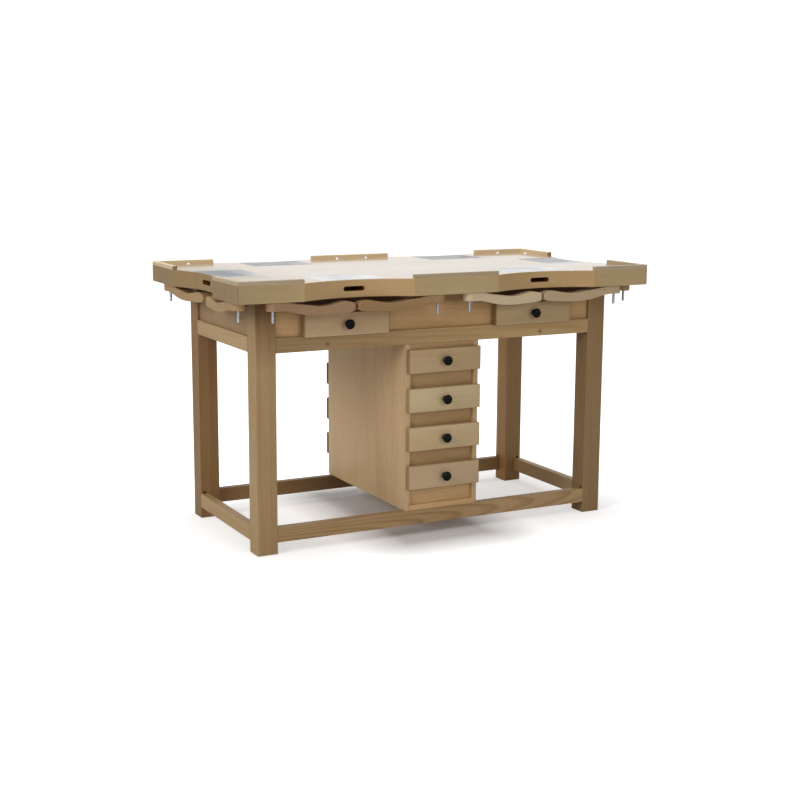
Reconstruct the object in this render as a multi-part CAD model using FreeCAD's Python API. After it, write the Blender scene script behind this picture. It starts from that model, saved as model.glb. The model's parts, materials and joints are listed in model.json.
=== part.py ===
"""Six-place jeweller's bench with a drawer pedestal, apron drawers and swinging armrests.

Millimetres. The origin is on the floor, midway between the legs: +X runs along the bench,
+Y to its back and +Z up. One STEP file is written for each node, into parts/.
"""
import FreeCAD, Part
import math
import os

from FreeCAD import Vector

# ---- frame: legs, stretchers, rails and aprons ----
end_overhang = 98.0          # worktop past the legs, at each end
side_overhang = 110.0        # worktop past the legs, at front and back
leg_width = 70.0             # along X
leg_depth = 70.0             # along Y
leg_edge_radius = 2.5
top_underside = 830.0        # floor to the underside of the worktop
rail_thick = 28.0            # stock of the stretchers and lower rails
rail_edge_radius = 2.0
stretcher_bottom = 38.0
stretcher_height = 50.0
rail_height = 50.0
apron_height = 123.0         # from a lower rail to the worktop
apron_thick = 18.0           # board between a lower rail and the worktop
tenon_thick = 12.0
tenon_length = 25.0
mortise_clearance = 0.2
mortise_overrun = 7.0        # the routed slot runs past the rail at each end

# ---- worktop ----
top_length = 1526.0
top_depth = 826.0
top_thick = 57.0
top_edge_radius = 2.5
rim_width = 16.0
rim_height = 13.0
rim_edge_radius = 1.5
scallop_chord = 386.0
scallop_depth = 52.0
station_offset = 350.0       # centre of a front or back place, from the middle of the bench
scallop_edge_radius = 1.5
slot_width = 74.0            # bench-pin slot in the edge of each place
slot_height = 15.0
slot_reach = 80.0            # how far the slot goes in from the edge
plate_width = 224.0          # metal sheet let into the top behind each scallop
plate_depth = 160.0
plate_thick = 1.5
plate_margin = 5.0           # wood left between the scallop and the sheet
plate_clearance = 0.2
place_board_margin = 3.0     # wood behind the sheet, to the glue line of its board
place_board_side = 5.0       # wood beside the scallop, to the glue line

# ---- armrests and their bolts ----
middle_bolt_offset = 60.0    # bolts nearest the middle of the bench, from the middle
bolt_diameter = 10.0
bolt_head_diameter = 13.0
bolt_head_height = 3.5
bolt_head_clearance = 1.5    # head to the raised rim beside it
end_bolt_clearance = 12.5    # the same at the two ends
bolt_length_below = 64.0     # under the worktop
bolt_clearance = 0.15        # hole in the worktop, on the radius
arm_running_clearance = 0.08 # hole in the armrest, on the radius
arm_tip_room = 4.0           # tip to the centre of its place, front and back
arm_end_tip_room = 39.0      # the same at the two ends
arm_width = 44.0
arm_end_thick = 26.5
arm_top_gap = 0.3            # armrest to the underside of the worktop
arm_corner_radius = 10.0     # corners of the tip, seen from above
# Underside and top of an armrest: distance from the bolt, as a share of its reach, and drop
# below the flat end.
arm_swell = [(0.063, arm_end_thick), (0.262, 36.0), (0.402, 44.0), (0.601, 46.5), (0.794, 44.5),
             (0.948, 41.0)]
arm_hollow = [(0.119, 0.0), (0.252, 5.5), (0.409, 12.0), (0.570, 18.4), (0.745, 14.2),
              (0.867, 8.8), (0.948, 11.0)]
arm_edge_radius = 2.0
counterbore_clearance = 1.5  # around the washer
counterbore_depth = 11.0
washer_diameter = 24.0
washer_thick = 2.0
nut_across_flats = 17.0
nut_height = 8.0
hardware_bore_clearance = 0.1
# Degrees that an armrest rests turned in under the worktop, where it isn't along the edge.
inward_swing = {"left_end_left": 7.0, "left_end_right": 3.5, "front_left_left": 4.5,
                "front_left_right": 4.5, "front_right_left": 4.5, "front_right_right": 4.5}

# ---- drawers ----
front_thick = 20.0
front_edge_radius = 3.0
front_gap = 0.5              # drawer front to the face that it closes on
box_height = 64.0
box_wall = 10.0
box_bottom_thick = 5.0
box_groove = 5.0             # depth of the groove that holds the bottom
box_bottom_lift = 6.0        # bottom panel above the lower edge of the sides
box_side_clearance = 1.5
box_end_clearance = 2.0      # box to the edges of its opening, above and below
seat_gap = 0.3               # drawer side to its runner
knob_diameter = 33.0
knob_neck_diameter = 14.0
knob_base_diameter = 20.0
knob_length = 27.0
knob_cap_height = 13.0
screw_diameter = 4.5
screw_clearance = 0.3
screw_head_diameter = 9.0
screw_head_height = 2.5
screw_engagement = 15.0      # length of the screw inside the knob

# ---- apron drawers, two at the front and two at the back ----
apron_drawer_shift = 4.0     # drawer's centre past the centre of its place
apron_front_width = 303.0
apron_arm_clearance = 3.2    # drawer front to the armrests above it when it slides out
apron_front_overlap = 3.0    # front over the lower rail
apron_box_lift = 5.0         # box above the lower edge of its front
apron_box_inset = 11.0       # box narrower than its front, each side
apron_box_room = 53.5        # end of a closed box to the middle of the bench
bearer_thick = 20.0          # flat strip under each side of the box
bearer_width = 24.0
guide_height = 22.0          # strip beside the box, standing on the bearer's outer part
bearer_ledge = 12.0          # width of the bearer that the box slides on
stop_width = 24.0            # strip behind each apron drawer

# ---- pedestal, with four drawers to the front and four to the back ----
pedestal_centre = 8.0
pedestal_width = 278.0
pedestal_back_overhang = 13.0  # pedestal past the frame, at the back
pedestal_board = 18.0
pedestal_drawers = 4
pedestal_top_margin = 17.0   # top of the highest front, under the pedestal's head
pedestal_first_front = 76.0  # lower edge of the lowest front, above the pedestal's foot
pedestal_front_inset = 1.5   # front narrower than the pedestal, each side
pedestal_front_height = 80.0
pedestal_box_lift = 8.0
pedestal_box_room = 31.5     # end of a closed box to the middle of the bench
cross_rail_recess = 10.0
runner_width = 15.0
runner_height = 12.0

# ---- worked out ----
frame_length = top_length - 2.0 * end_overhang
frame_depth = top_depth - 2.0 * side_overhang
half_length = frame_length / 2.0
half_depth = frame_depth / 2.0
top_surface = top_underside + top_thick
place_board_depth = scallop_depth + plate_depth + place_board_margin
rail_top = top_underside - apron_height
rail_bottom = rail_top - rail_height
stretcher_top = stretcher_bottom + stretcher_height
scallop_radius = (scallop_chord ** 2 / 4.0 + scallop_depth ** 2) / (2.0 * scallop_depth)
bolt_inset = rim_width + bolt_head_diameter / 2.0 + bolt_head_clearance
end_bolt_inset = rim_width + bolt_head_diameter / 2.0 + end_bolt_clearance
bolt_spread_long = station_offset - middle_bolt_offset
arm_reach = bolt_spread_long - arm_tip_room
bolt_spread_end = arm_reach + arm_end_tip_room
arm_top = top_underside - arm_top_gap
arm_belly = max(drop for share, drop in arm_swell)
counterbore_diameter = washer_diameter + 2.0 * counterbore_clearance
apron_drawer_offset = station_offset + apron_drawer_shift
apron_front_bottom = rail_top - apron_front_overlap
apron_front_height = arm_top - arm_belly - apron_arm_clearance - apron_front_bottom
apron_box_depth = half_depth + front_gap - apron_box_room
pedestal_box_depth = half_depth + front_gap - pedestal_box_room
apron_box_width = apron_front_width - 2.0 * apron_box_inset
pedestal_inner_width = pedestal_width - 2.0 * pedestal_board
pedestal_box_width = pedestal_inner_width - 2.0 * box_side_clearance
pedestal_span = rail_bottom - stretcher_top - pedestal_first_front - pedestal_top_margin
pedestal_pitch = (pedestal_span - pedestal_front_height) / (pedestal_drawers - 1)

# Each place: name, turn about Z in degrees, distance of its edge from the middle of the bench,
# place along that edge, how far its armrest bolts stand from its centre and from its edge.
stations = [
    ("front_left", 0.0, top_depth / 2.0, -station_offset, bolt_spread_long, bolt_inset),
    ("front_right", 0.0, top_depth / 2.0, station_offset, bolt_spread_long, bolt_inset),
    ("right_end", 90.0, top_length / 2.0, 0.0, bolt_spread_end, end_bolt_inset),
    ("back_right", 180.0, top_depth / 2.0, -station_offset, bolt_spread_long, bolt_inset),
    ("back_left", 180.0, top_depth / 2.0, station_offset, bolt_spread_long, bolt_inset),
    ("left_end", 270.0, top_length / 2.0, 0.0, bolt_spread_end, end_bolt_inset),
]


# ---- helpers ----
def block(x0, x1, y0, y1, z0, z1):
    """A box between two corners."""
    return Part.makeBox(x1 - x0, y1 - y0, z1 - z0, Vector(x0, y0, z0))


def rod(diameter, z0, z1, x=0.0, y=0.0):
    """An upright cylinder."""
    return Part.makeCylinder(diameter / 2.0, z1 - z0, Vector(x, y, z0))


def eased(solid, radius, keep):
    """The solid with the edges that keep() accepts rounded."""
    edges = [edge for edge in solid.Edges if keep(edge)]
    return solid.makeFillet(radius, edges)


def runs_along(axis):
    """A test for straight edges that run along X, Y or Z (0, 1 or 2)."""
    def test(edge):
        span = edge.Vertexes[-1].Point - edge.Vertexes[0].Point
        others = [abs(span[i]) for i in range(3) if i != axis]
        return abs(span[axis]) > 1.0 and max(others) < 0.01
    return test


def fused(shapes):
    """One solid from shapes that overlap or share a face."""
    return shapes[0].multiFuse(shapes[1:]).removeSplitter()


def smooth(points, start, end):
    """A curve in the XZ plane through points (x, z), with a direction at each of its ends."""
    curve = Part.BSplineCurve()
    curve.interpolate(Points=[Vector(x, 0, z) for x, z in points],
                      InitialTangent=Vector(start[0], 0, start[1]),
                      FinalTangent=Vector(end[0], 0, end[1]))
    return curve.toShape()


def outline(points):
    """Straight edges through points (x, z) in the XZ plane."""
    ends = [Vector(x, 0, z) for x, z in points]
    return [Part.LineSegment(a, b).toShape() for a, b in zip(ends, ends[1:])]


def spun(edges):
    """The solid that a closed outline in the XZ plane sweeps about Z."""
    return Part.Face(Part.Wire(edges)).revolve(Vector(0, 0, 0), Vector(0, 0, 1), 360)


def turned(shape, angle, x, y, z=0.0):
    """A copy turned about Z and then moved."""
    copy = shape.copy()
    copy.rotate(Vector(0, 0, 0), Vector(0, 0, 1), angle)
    copy.translate(Vector(x, y, z))
    return copy


def at_station(shape, station):
    """A copy placed at a bench place: local X runs along the edge, local Y goes inwards."""
    angle, edge, along = station[1:4]
    turn = math.radians(angle)
    x = along * math.cos(turn) + edge * math.sin(turn)
    y = along * math.sin(turn) - edge * math.cos(turn)
    return turned(shape, angle, x, y)


def write(name, shape):
    """One node as a STEP file."""
    shape.exportStep("parts/" + name + ".step")
    print(name, "solids", len(shape.Solids), "valid", shape.isValid())


# ---- frame ----
def bar_with_tenons(length, height):
    """A rail along X, centred on X, outer face on Y = 0, with a stub tenon at each end."""
    bar = block(-length / 2.0, length / 2.0, 0, rail_thick, 0, height)
    bar = eased(bar, rail_edge_radius, runs_along(0))
    tenon_y = (rail_thick - tenon_thick) / 2.0
    reach = length / 2.0 + tenon_length
    tenon = block(-reach, reach, tenon_y, tenon_y + tenon_thick, 2 * rail_edge_radius,
                  height - 2 * rail_edge_radius)
    return fused([bar, tenon])


def mortise(height):
    """The routed slot for one tenon, opening on X = 0 and going in towards -X."""
    thick = tenon_thick + 2 * mortise_clearance
    centre = rail_thick / 2.0
    low = -mortise_overrun + thick / 2.0
    high = height + mortise_overrun - thick / 2.0
    depth = tenon_length + mortise_clearance
    slot = block(-depth, 0, centre - thick / 2.0, centre + thick / 2.0, low, high)
    for z in (low, high):
        end = Part.makeCylinder(thick / 2.0, depth, Vector(-depth, centre, z), Vector(1, 0, 0))
        slot = slot.fuse(end)
    return slot


def corner_leg():
    """The front left leg, with a slot in its right face and one in its back face at each rail."""
    leg = block(0, leg_width, 0, leg_depth, 0, top_underside)
    leg = eased(leg, leg_edge_radius, runs_along(2))
    for bottom, height in ((stretcher_bottom, stretcher_height), (rail_bottom, rail_height)):
        slot = mortise(height)
        to_right = turned(slot, 0, leg_width, 0, bottom)
        to_back = slot.mirror(Vector(0, 0, 0), Vector(0, 1, 0))
        to_back = turned(to_back, 90, 0, leg_depth, bottom)
        leg = leg.cut(to_right).cut(to_back)
    return leg


def make_legs():
    """Four legs, each the mirror image of its neighbours."""
    leg = corner_leg()
    leg.translate(Vector(-half_length, -half_depth, 0))
    for depth_name, flip_y in (("front", False), ("back", True)):
        for side_name, flip_x in (("left", False), ("right", True)):
            shape = leg
            if flip_x:
                shape = shape.mirror(Vector(0, 0, 0), Vector(1, 0, 0))
            if flip_y:
                shape = shape.mirror(Vector(0, 0, 0), Vector(0, 1, 0))
            write("leg_" + depth_name + "_" + side_name, shape)


def on_four_sides(stem, long_piece, short_piece, z):
    """Writes the long piece at front and back and the short one at both ends."""
    write(stem + "_front", turned(long_piece, 0, 0, -half_depth, z))
    write(stem + "_right", turned(short_piece, 90, half_length, 0, z))
    write(stem + "_back", turned(long_piece, 180, 0, half_depth, z))
    write(stem + "_left", turned(short_piece, 270, -half_length, 0, z))


def make_rails():
    """Stretchers near the floor and rails under the aprons."""
    between_x = frame_length - 2 * leg_width
    between_y = frame_depth - 2 * leg_depth
    on_four_sides("stretcher", bar_with_tenons(between_x, stretcher_height),
                  bar_with_tenons(between_y, stretcher_height), stretcher_bottom)
    on_four_sides("rail", bar_with_tenons(between_x, rail_height),
                  bar_with_tenons(between_y, rail_height), rail_bottom)


def make_aprons():
    """Boards set back from the rails; the long ones are notched for their two drawers."""
    height = top_underside - rail_top
    set_back = rail_thick - apron_thick
    notch_top = apron_box_lift - apron_front_overlap + box_height + box_end_clearance
    notch_half = apron_box_width / 2.0 + box_end_clearance
    long_half = half_length - leg_width
    short_half = half_depth - leg_depth
    long_board = block(-long_half, long_half, set_back, rail_thick, 0, height)
    for centre in (-apron_drawer_offset, apron_drawer_offset):
        notch = block(centre - notch_half, centre + notch_half, 0, rail_thick + 1.0, -1.0, notch_top)
        long_board = long_board.cut(notch)
    short_board = block(-short_half, short_half, set_back, rail_thick, 0, height)
    on_four_sides("apron", long_board, short_board, rail_top)


# ---- worktop ----
def scallop_cutter(extra, z0, z1):
    """The cylinder that cuts a scallop, in a place's own frame, with a larger radius by extra."""
    return rod(2.0 * (scallop_radius + extra), z0, z1, 0.0, scallop_depth - scallop_radius)


def pin_slot():
    """The bench-pin slot of one place, rounded at both ends."""
    middle = top_underside + top_thick / 2.0
    flat_half = (slot_width - slot_height) / 2.0
    low = middle - slot_height / 2.0
    reach = scallop_depth + slot_reach
    slot = block(-flat_half, flat_half, 0, reach, low, low + slot_height)
    for x in (-flat_half, flat_half):
        end = Part.makeCylinder(slot_height / 2.0, reach, Vector(x, 0, middle), Vector(0, 1, 0))
        slot = slot.fuse(end)
    return slot


def metal_plate(clearance):
    """One sheet behind its scallop, or the recess for it when clearance is given."""
    half = plate_width / 2.0 + clearance
    low = top_surface - plate_thick
    sheet = block(-half, half, 0, scallop_depth + plate_depth + clearance, low, top_surface)
    return sheet.cut(scallop_cutter(plate_margin - clearance, low - 1.0, top_surface + 1.0))


def worktop_slab():
    """The slab with its scallops, slots, plate recesses and bolt holes."""
    slab = block(-top_length / 2.0, top_length / 2.0, -top_depth / 2.0, top_depth / 2.0,
                 top_underside, top_surface)
    for station in stations:
        slab = slab.cut(at_station(scallop_cutter(0.0, top_underside - 1.0, top_surface + 1.0), station))

    def underside_rim(edge):
        return all(abs(vertex.Z - top_underside) < 0.01 for vertex in edge.Vertexes)

    def scallop_rim(edge):
        curved = abs(edge.Length - (edge.Vertexes[-1].Point - edge.Vertexes[0].Point).Length) > 0.5
        return curved and all(abs(vertex.Z - top_surface) < 0.01 for vertex in edge.Vertexes)

    slab = eased(slab, top_edge_radius, underside_rim)
    slab = eased(slab, scallop_edge_radius, scallop_rim)
    for station in stations:
        spread, inset = station[4:6]
        cuts = [pin_slot(), metal_plate(plate_clearance)]
        for x in (-spread, spread):
            hole = bolt_diameter + 2 * bolt_clearance
            cuts.append(rod(hole, top_underside - 1.0, top_surface + 1.0, x, inset))
        for cut in cuts:
            slab = slab.cut(at_station(cut, station))
    return slab


def slab_boards(slab):
    """The slab as it is glued up: seven plain boards, and the six boards that hold the places."""
    half_x = top_length / 2.0
    half_y = top_depth / 2.0
    end_x = half_x - place_board_depth
    row_y = half_y - place_board_depth
    start = station_offset - scallop_chord / 2.0 - place_board_side
    end = station_offset + scallop_chord / 2.0 + place_board_side
    plain = [(-end_x, end_x, -row_y, row_y)]
    places = [(-half_x, -end_x, -row_y, row_y), (end_x, half_x, -row_y, row_y)]
    for y0, y1 in ((-half_y, -row_y), (row_y, half_y)):
        plain += [(-half_x, -end, y0, y1), (-start, start, y0, y1), (end, half_x, y0, y1)]
        places += [(-end, -start, y0, y1), (start, end, y0, y1)]

    def pieces(areas):
        boards = [slab.common(block(*area, top_underside, top_surface)) for area in areas]
        return Part.makeCompound([board.Solids[0] for board in boards])

    return pieces(plain), pieces(places)


def rim_bar(x0, x1, y0, y1):
    """A straight bar of the raised edge."""
    bar = block(x0, x1, y0, y1, top_surface, top_surface + rim_height)

    def upper(edge):
        return all(abs(vertex.Z - top_surface - rim_height) < 0.01 for vertex in edge.Vertexes)

    return eased(bar, rim_edge_radius, upper)


def make_rims():
    """Raised edges: a bar between the two places of each long side, and an L at each corner."""
    half_x = top_length / 2.0
    half_y = top_depth / 2.0
    middle_half = station_offset - scallop_chord / 2.0
    corner_start = station_offset + scallop_chord / 2.0
    end_start = scallop_chord / 2.0
    middle = rim_bar(-middle_half, middle_half, -half_y, -half_y + rim_width)
    long_bar = rim_bar(corner_start, half_x, -half_y, -half_y + rim_width)
    short_bar = rim_bar(half_x - rim_width, half_x, -half_y + rim_width, -end_start)
    bars = []
    for flip_y in (False, True):
        pieces = [middle, long_bar, short_bar]
        pieces += [piece.mirror(Vector(0, 0, 0), Vector(1, 0, 0)) for piece in (long_bar, short_bar)]
        for piece in pieces:
            bars.append(piece.mirror(Vector(0, 0, 0), Vector(0, 1, 0)) if flip_y else piece)
    return Part.makeCompound(bars)


# ---- armrests ----
def arm_outline():
    """The armrest seen from the side: X from the bolt to the tip, Z down from its flat end."""
    back_end = -arm_width / 2.0
    top_points = [(share * arm_reach, -drop) for share, drop in arm_hollow]
    under_points = [(share * arm_reach, -drop) for share, drop in reversed(arm_swell)]
    upper = smooth(top_points, (40, 0), (20, -8))
    lower = smooth(under_points, (-50, -8), (-50, 0))
    nose_start = Vector(top_points[-1][0], 0, top_points[-1][1])
    nose_end = Vector(under_points[0][0], 0, under_points[0][1])
    tip = Vector(arm_reach, 0, 0.5 * (nose_start.z + nose_end.z))
    nose = Part.Arc(nose_start, tip, nose_end).toShape()
    flat = outline([(back_end, 0), top_points[0]])
    end = outline([under_points[-1], (back_end, -arm_end_thick), (back_end, 0)])
    edges = flat + [upper, nose, lower] + end
    return Part.Face(Part.Wire(edges))


def armrest():
    """An armrest with its bolt on the Z axis, pointing along +X."""
    half = arm_width / 2.0
    face = arm_outline()
    face.translate(Vector(0, -half, 0))
    body = face.extrude(Vector(0, arm_width, 0))
    plan = block(0, arm_reach + 1.0, -half, half, -2 * arm_width, 1.0)
    plan = plan.fuse(rod(arm_width, -2 * arm_width, 1.0)).removeSplitter()

    def nose_corner(edge):
        return runs_along(2)(edge) and edge.BoundBox.XMin > arm_reach

    plan = eased(plan, arm_corner_radius, nose_corner)
    body = body.common(plan)
    body = eased(body, arm_edge_radius, lambda edge: not runs_along(2)(edge))
    bore = bolt_diameter + 2 * arm_running_clearance
    body = body.cut(rod(bore, -2 * arm_width, 1.0))
    body = body.cut(rod(counterbore_diameter, -2 * arm_width, -arm_end_thick + counterbore_depth))
    body.translate(Vector(0, 0, arm_top))
    return body


def bolt():
    """An armrest bolt on the Z axis: a low domed head on the worktop and a long shank."""
    low = top_underside - bolt_length_below
    chamfer = 1.0
    radius = bolt_diameter / 2.0
    head = bolt_head_diameter / 2.0
    top = top_surface + bolt_head_height
    edges = outline([(0, top), (0, low), (radius - chamfer, low), (radius, low + chamfer),
                     (radius, top_surface), (head, top_surface), (head, top_surface + 1.0)])
    dome = smooth([(head, top_surface + 1.0), (0.6 * head, top - 0.6), (0, top)], (0, 3), (-4, 0))
    return spun(edges + [dome])


def nut_and_washer():
    """The washer and nut that hold an armrest up, inside its counterbore."""
    ceiling = arm_top - arm_end_thick + counterbore_depth
    washer_top = ceiling - arm_top_gap
    nut_top = washer_top - washer_thick
    bore = bolt_diameter + 2 * hardware_bore_clearance
    washer = rod(washer_diameter, nut_top, washer_top).cut(rod(bore, nut_top, washer_top))
    corner = nut_across_flats / math.sqrt(3.0)
    points = [Vector(corner * math.cos(math.radians(60 * i)), corner * math.sin(math.radians(60 * i)),
                     nut_top - nut_height) for i in range(7)]
    nut = Part.Face(Part.makePolygon(points)).extrude(Vector(0, 0, nut_height))
    nut = nut.cut(rod(bore, nut_top - nut_height, nut_top))
    return [washer, nut]


def make_armrests():
    """Two armrests at each place, their bolts, and the washers and nuts under them."""
    arm = armrest()
    hardware = []
    for station in stations:
        name = station[0]
        spread, inset = station[4:6]
        for side, x, facing in (("left", -spread, 0.0), ("right", spread, 180.0)):
            node = "armrest_" + name + "_" + side
            swing = inward_swing.get(name + "_" + side, 0.0)
            inward = swing if side == "left" else -swing
            placed = turned(arm, facing + inward, x, inset)
            write(node, at_station(placed, station))
            for piece in [bolt()] + nut_and_washer():
                hardware.append(at_station(turned(piece, 0, x, inset), station))
    write("armrest_hardware", Part.makeCompound(hardware))


# ---- drawers ----
def drawer(front_width, front_height, box_width, box_lift, box_depth):
    """A drawer: its front's back face is on Y = 0, its lower edge on Z = 0, the box towards +Y."""
    front = block(-front_width / 2.0, front_width / 2.0, -front_thick, 0, 0, front_height)
    front = eased(front, front_edge_radius, lambda edge: edge.BoundBox.YMin < -0.5)
    half = box_width / 2.0
    top = box_lift + box_height
    sides = [block(-half, -half + box_wall, 0, box_depth, box_lift, top),
             block(half - box_wall, half, 0, box_depth, box_lift, top)]
    back = block(-half + box_wall, half - box_wall, box_depth - box_wall, box_depth, box_lift, top)
    low = box_lift + box_bottom_lift
    reach = half - box_wall + box_groove
    bottom = block(-reach, reach, 0, box_depth - box_wall + box_groove, low, low + box_bottom_thick)
    walls = [wall.cut(bottom) for wall in sides + [back]]
    hole = Part.makeCylinder(screw_diameter / 2.0 + screw_clearance, front_thick,
                             Vector(0, -front_thick, front_height / 2.0), Vector(0, 1, 0))
    return Part.makeCompound([front.cut(hole)] + walls + [bottom])


def knob(height):
    """A mushroom knob at a height on its drawer front, with the screw that holds it from inside."""
    base = knob_base_diameter / 2.0
    neck = knob_neck_diameter / 2.0
    cap = knob_diameter / 2.0
    under_cap = knob_length - knob_cap_height
    rim = under_cap + 0.45 * knob_cap_height
    shoulder = knob_length - 0.18 * knob_cap_height
    bore = screw_diameter / 2.0 + 0.05
    bore_end = screw_engagement + 1.0
    edges = outline([(0, knob_length), (0, bore_end), (bore, bore_end), (bore, 0), (base, 0), (base, 2)])
    edges.append(smooth([(base, 2), (neck, 0.5 * under_cap), (0.6 * cap, under_cap), (cap, rim)],
                        (-3, 1), (1, 6)))
    edges.append(smooth([(cap, rim), (0.75 * cap, shoulder), (0, knob_length)], (0, 5), (-16, 0)))
    turned_knob = spun(edges)
    shank = rod(screw_diameter, -front_thick, screw_engagement)
    head = rod(screw_head_diameter, -front_thick - screw_head_height, -front_thick)
    screw = shank.fuse(head).removeSplitter()
    pair = Part.makeCompound([turned_knob, screw])
    pair.rotate(Vector(0, 0, 0), Vector(1, 0, 0), 90)
    pair.translate(Vector(0, -front_thick, height))
    return pair


def place_drawer(name, shape, front_height, x, y, z):
    """Writes a drawer and its knob; its front closes on a face at y, seen from outside the bench."""
    angle = 180.0 if y > 0 else 0.0
    y += front_gap if y > 0 else -front_gap
    write("drawer_" + name, turned(shape, angle, x, y, z))
    write("knob_" + name, turned(knob(front_height / 2.0), angle, x, y, z))


def make_drawers():
    """Four apron drawers and eight pedestal drawers."""
    height = apron_front_height
    shape = drawer(apron_front_width, height, apron_box_width, apron_box_lift, apron_box_depth)
    z = apron_front_bottom
    for face, y in (("front", -half_depth), ("back", half_depth)):
        for side, x in (("left", -apron_drawer_offset), ("right", apron_drawer_offset)):
            place_drawer("apron_" + face + "_" + side, shape, height, x, y, z)
    height = pedestal_front_height
    width = pedestal_width - 2 * pedestal_front_inset
    shape = drawer(width, height, pedestal_box_width, pedestal_box_lift, pedestal_box_depth)
    for face, y in (("front", -half_depth), ("back", half_depth + pedestal_back_overhang)):
        for number in range(1, pedestal_drawers + 1):
            z = front_bottom(pedestal_drawers - number)
            name = "pedestal_" + face + "_" + str(number)
            place_drawer(name, shape, height, pedestal_centre, y, z)


# ---- pedestal ----
def front_bottom(level):
    """Lower edge of a pedestal drawer's front; level 0 is the lowest."""
    return stretcher_top + pedestal_first_front + level * pedestal_pitch


def make_pedestal():
    """The pedestal stands on the long stretchers and reaches the long rails."""
    front = -half_depth
    rear = half_depth + pedestal_back_overhang
    outer = pedestal_width / 2.0
    inner = pedestal_inner_width / 2.0
    foot = stretcher_top
    head = rail_bottom
    left = pedestal_centre - outer
    right = pedestal_centre + outer
    sides = [block(left, left + pedestal_board, front, rear, foot, head),
             block(right - pedestal_board, right, front, rear, foot, head)]
    write("pedestal_sides", Part.makeCompound(sides))
    x0 = pedestal_centre - inner
    x1 = pedestal_centre + inner
    floor_top = foot + pedestal_board
    boards = [block(x0, x1, front, rear, foot, floor_top),
              block(x0, x1, front, rear, head - pedestal_board, head),
              block(x0, x1, -pedestal_board / 2.0, pedestal_board / 2.0, floor_top, head - pedestal_board)]
    rail_from = floor_top
    front += cross_rail_recess
    rear -= cross_rail_recess
    for level in range(pedestal_drawers):
        box_low = front_bottom(level) + pedestal_box_lift
        rail_to = box_low - box_end_clearance
        boards.append(block(x0, x1, rear - pedestal_board, rear, rail_from, rail_to))
        boards.append(block(x0, x1, front, front + pedestal_board, rail_from, rail_to))
        rail_from = box_low + box_height + box_end_clearance
    write("pedestal_boards", Part.makeCompound(boards))


def make_runners():
    """Strips on the pedestal's sides, and the bearers and stops of the apron drawers."""
    strips = []
    inner = pedestal_inner_width / 2.0
    y0 = pedestal_board / 2.0
    y1 = half_depth - cross_rail_recess - pedestal_board
    y2 = y1 + pedestal_back_overhang
    for level in range(pedestal_drawers):
        top = front_bottom(level) + pedestal_box_lift - seat_gap
        for x in (pedestal_centre - inner, pedestal_centre + inner - runner_width):
            for low, high in ((-y1, -y0), (y0, y2)):
                strips.append(block(x, x + runner_width, low, high, top - runner_height, top))
    reach = half_depth - rail_thick
    top = apron_front_bottom + apron_box_lift - seat_gap
    side = apron_box_width / 2.0 + box_side_clearance
    stop = half_depth + front_gap - apron_box_depth - seat_gap
    for centre in (-apron_drawer_offset, apron_drawer_offset):
        for sign in (-1.0, 1.0):
            edge = centre + sign * side
            low, high = sorted((edge - sign * bearer_ledge, edge + sign * (bearer_width - bearer_ledge)))
            strips.append(block(low, high, -reach, reach, top - bearer_thick, top))
            low, high = sorted((edge, edge + sign * (bearer_width - bearer_ledge)))
            strips.append(block(low, high, -reach, reach, top, top + guide_height))
        for y0, y1 in ((-stop, stop_width - stop), (stop - stop_width, stop)):
            strips.append(block(centre - side, centre + side, y0, y1, top, top + guide_height))
    write("drawer_runners", Part.makeCompound(strips))


def main():
    os.makedirs("parts", exist_ok=True)
    make_legs()
    make_rails()
    make_aprons()
    plain, places = slab_boards(worktop_slab())
    write("worktop", plain)
    write("place_boards", places)
    write("edge_rims", make_rims())
    plates = [at_station(metal_plate(0.0), station) for station in stations]
    write("scallop_plates", Part.makeCompound(plates))
    make_armrests()
    make_pedestal()
    make_runners()
    make_drawers()


main()
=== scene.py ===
import json
import math

import bmesh
import bpy
from mathutils import Matrix, Vector


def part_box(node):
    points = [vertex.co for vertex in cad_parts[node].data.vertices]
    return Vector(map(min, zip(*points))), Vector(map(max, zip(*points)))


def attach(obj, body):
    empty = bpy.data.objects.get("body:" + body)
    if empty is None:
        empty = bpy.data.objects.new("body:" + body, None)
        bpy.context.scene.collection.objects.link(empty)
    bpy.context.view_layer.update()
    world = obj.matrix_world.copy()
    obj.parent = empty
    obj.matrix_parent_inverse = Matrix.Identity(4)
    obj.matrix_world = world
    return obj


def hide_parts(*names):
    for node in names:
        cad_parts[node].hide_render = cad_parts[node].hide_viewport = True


# Six-place jeweller's bench: lacquered beech, steel-faced places, black knobs.
# Metres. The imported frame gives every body; X runs along the bench, Y to its back.

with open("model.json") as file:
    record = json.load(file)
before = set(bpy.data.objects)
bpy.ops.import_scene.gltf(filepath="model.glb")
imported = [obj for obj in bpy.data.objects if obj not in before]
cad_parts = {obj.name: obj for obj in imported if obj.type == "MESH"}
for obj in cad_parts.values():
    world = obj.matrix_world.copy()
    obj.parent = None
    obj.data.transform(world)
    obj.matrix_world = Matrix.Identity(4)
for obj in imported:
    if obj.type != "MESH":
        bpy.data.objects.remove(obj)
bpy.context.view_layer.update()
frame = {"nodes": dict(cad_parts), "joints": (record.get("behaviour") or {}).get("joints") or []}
nodes = frame["nodes"]
print("frame loaded:", len(nodes), "nodes")


def tone(red, green, blue):  # a screen colour as the shader wants it
    linear = []
    for value in (red / 255, green / 255, blue / 255):
        linear.append(value / 12.92 if value <= 0.04045 else ((value + 0.055) / 1.055) ** 2.4)
    return (*linear, 1.0)


def fill(tree, node, values):  # sockets linked to other nodes, or set to fixed values
    for key, value in values.items():
        if isinstance(value, bpy.types.NodeSocket):
            tree.links.new(value, node.inputs[key])
        else:
            node.inputs[key].default_value = value


def add(tree, kind, inputs=None, **settings):
    made = tree.nodes.new("ShaderNode" + kind)
    for key, value in settings.items():
        setattr(made, key, value)
    fill(tree, made, inputs or {})
    return made


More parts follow.
